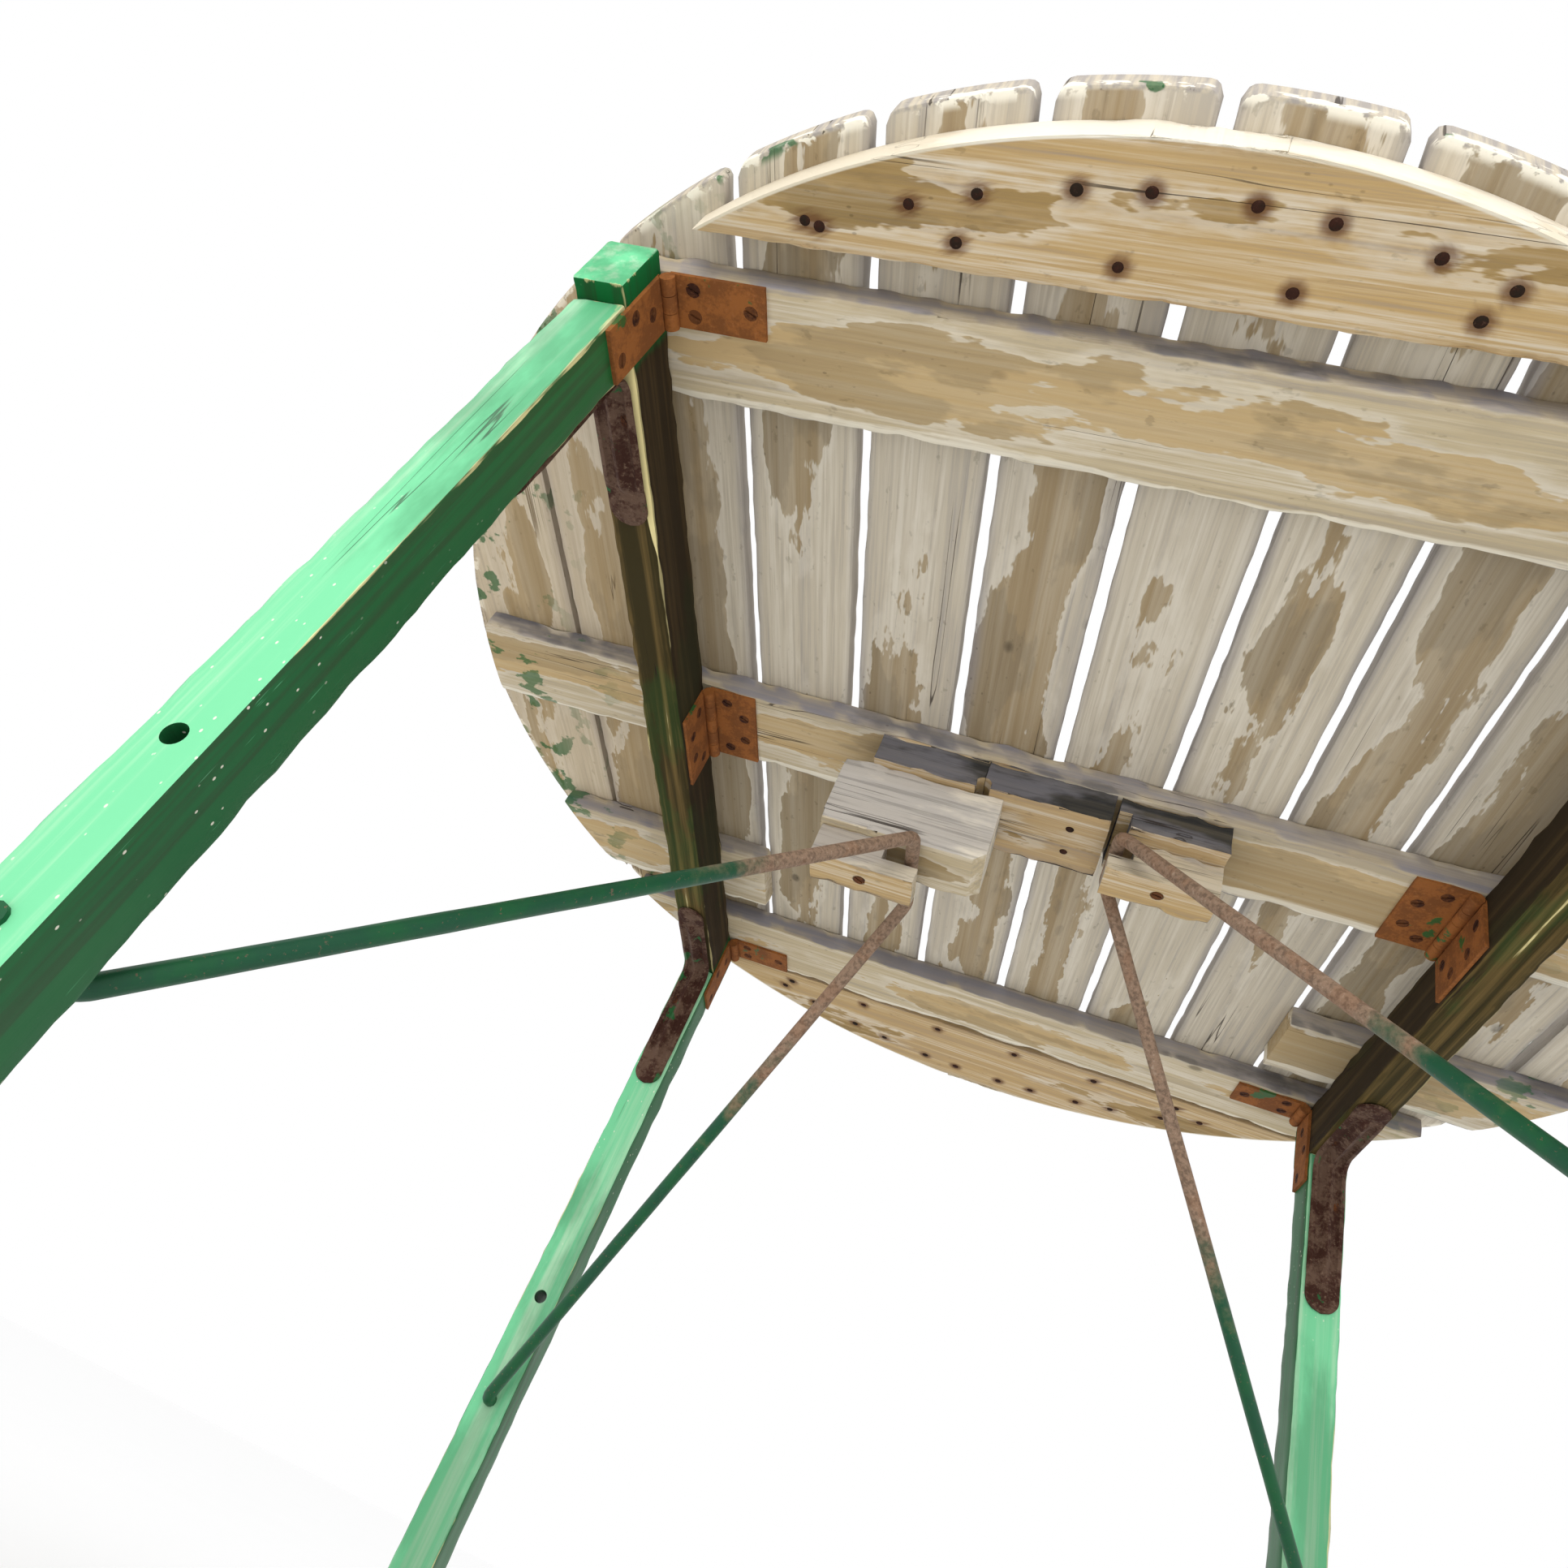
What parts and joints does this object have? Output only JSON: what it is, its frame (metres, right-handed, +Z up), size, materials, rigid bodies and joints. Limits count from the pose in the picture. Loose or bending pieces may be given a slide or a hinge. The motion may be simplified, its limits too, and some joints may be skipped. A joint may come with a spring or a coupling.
{
  "type": "folding garden table",
  "caption": "Round slatted wooden garden table on two folding leg frames, each held upright by a hooked V-shaped rod brace.",
  "frame": {"origin": "on the floor, under the middle of the round top", "axes": "+Z up, +X along the battens under the top, +Y along the slats"},
  "size_m": [0.9998, 1, 0.73],
  "materials": {
    "slat_wood": "weathered bare wood with water stains",
    "batten_wood": "weathered bare wood with water stains",
    "grey_wood": "grey weathered wood",
    "keeper_wood": "weathered bare wood",
    "rail_wood": "dark olive-brown wood with green ends",
    "green_leg": "brushed green paint on wood, worn",
    "bracket_iron": "rusted pressed iron with some green paint",
    "hinge_iron": "rusted steel",
    "pin_steel": "dull steel",
    "screw_steel": "rusted steel",
    "brace_rod": "green painted steel rod, rusted where it rubs",
    "nail_steel": "rusted steel"
  },
  "bodies": {
    "top": {"slat_1": "slat_wood", "slat_2": "slat_wood", "slat_3": "slat_wood", "slat_4": "slat_wood", "slat_5": "slat_wood", "slat_6": "slat_wood", "slat_7": "slat_wood", "slat_8": "slat_wood", "slat_9": "slat_wood", "slat_10": "slat_wood", "slat_11": "slat_wood", "slat_12": "slat_wood", "batten_near": "batten_wood", "batten_middle": "batten_wood", "batten_far": "batten_wood", "edge_board_near": "batten_wood", "edge_board_far": "batten_wood", "short_batten_left": "batten_wood", "short_batten_right": "batten_wood", "catch_base_left": "grey_wood", "catch_base_middle": "grey_wood", "catch_base_right": "grey_wood", "catch_spacer": "grey_wood", "keeper_left": "keeper_wood", "keeper_lip_left": "keeper_wood", "keeper_right": "keeper_wood", "keeper_lip_right": "keeper_wood", "left_top_leaf_near": "hinge_iron", "left_top_leaf_middle": "hinge_iron", "left_top_leaf_far": "hinge_iron", "right_top_leaf_near": "hinge_iron", "right_top_leaf_middle": "hinge_iron", "right_top_leaf_far": "hinge_iron", "left_hinge_pins": "pin_steel", "right_hinge_pins": "pin_steel", "slat_nails": "nail_steel", "edge_nails": "nail_steel", "top_screws": "screw_steel"},
    "left_frame": {"left_rail": "rail_wood", "left_leg_near": "green_leg", "left_leg_far": "green_leg", "left_bracket_near": "bracket_iron", "left_bracket_far": "bracket_iron", "left_leg_leaf_near": "hinge_iron", "left_rail_leaf": "hinge_iron", "left_leg_leaf_far": "hinge_iron", "left_frame_screws": "screw_steel"},
    "right_frame": {"right_rail": "rail_wood", "right_leg_near": "green_leg", "right_leg_far": "green_leg", "right_bracket_near": "bracket_iron", "right_bracket_far": "bracket_iron", "right_leg_leaf_near": "hinge_iron", "right_rail_leaf": "hinge_iron", "right_leg_leaf_far": "hinge_iron", "right_frame_screws": "screw_steel"},
    "left_brace": {"left_brace_bar": "brace_rod", "left_brace_arms": "brace_rod"},
    "right_brace": {"right_brace_bar": "brace_rod", "right_brace_arms": "brace_rod"}
  },
  "joints": [
    {"name": "left_leg_fold", "type": "hinge", "parent": "top", "child": "left_frame", "pos_m": [-0.2745, -0.006, 0.692], "axis": [0, -1, 0], "range_deg": [0, 78]},
    {"name": "right_leg_fold", "type": "hinge", "parent": "top", "child": "right_frame", "pos_m": [0.287, -0.006, 0.692], "axis": [0, 1, 0], "range_deg": [0, 70]},
    {"name": "left_brace_swing", "type": "hinge", "parent": "left_frame", "child": "left_brace", "pos_m": [-0.296, -0.006, 0.234], "axis": [0, 1, 0], "range_deg": [0, 327]},
    {"name": "right_brace_swing", "type": "hinge", "parent": "right_frame", "child": "right_brace", "pos_m": [0.3085, -0.006, 0.316], "axis": [0, -1, 0], "range_deg": [0, 320.5]}
  ],
  "couplings": [
    {"joint": "left_brace_swing", "follows": "left_leg_fold", "ratio": 4.1885},
    {"joint": "right_brace_swing", "follows": "right_leg_fold", "ratio": 4.5743}
  ]
}
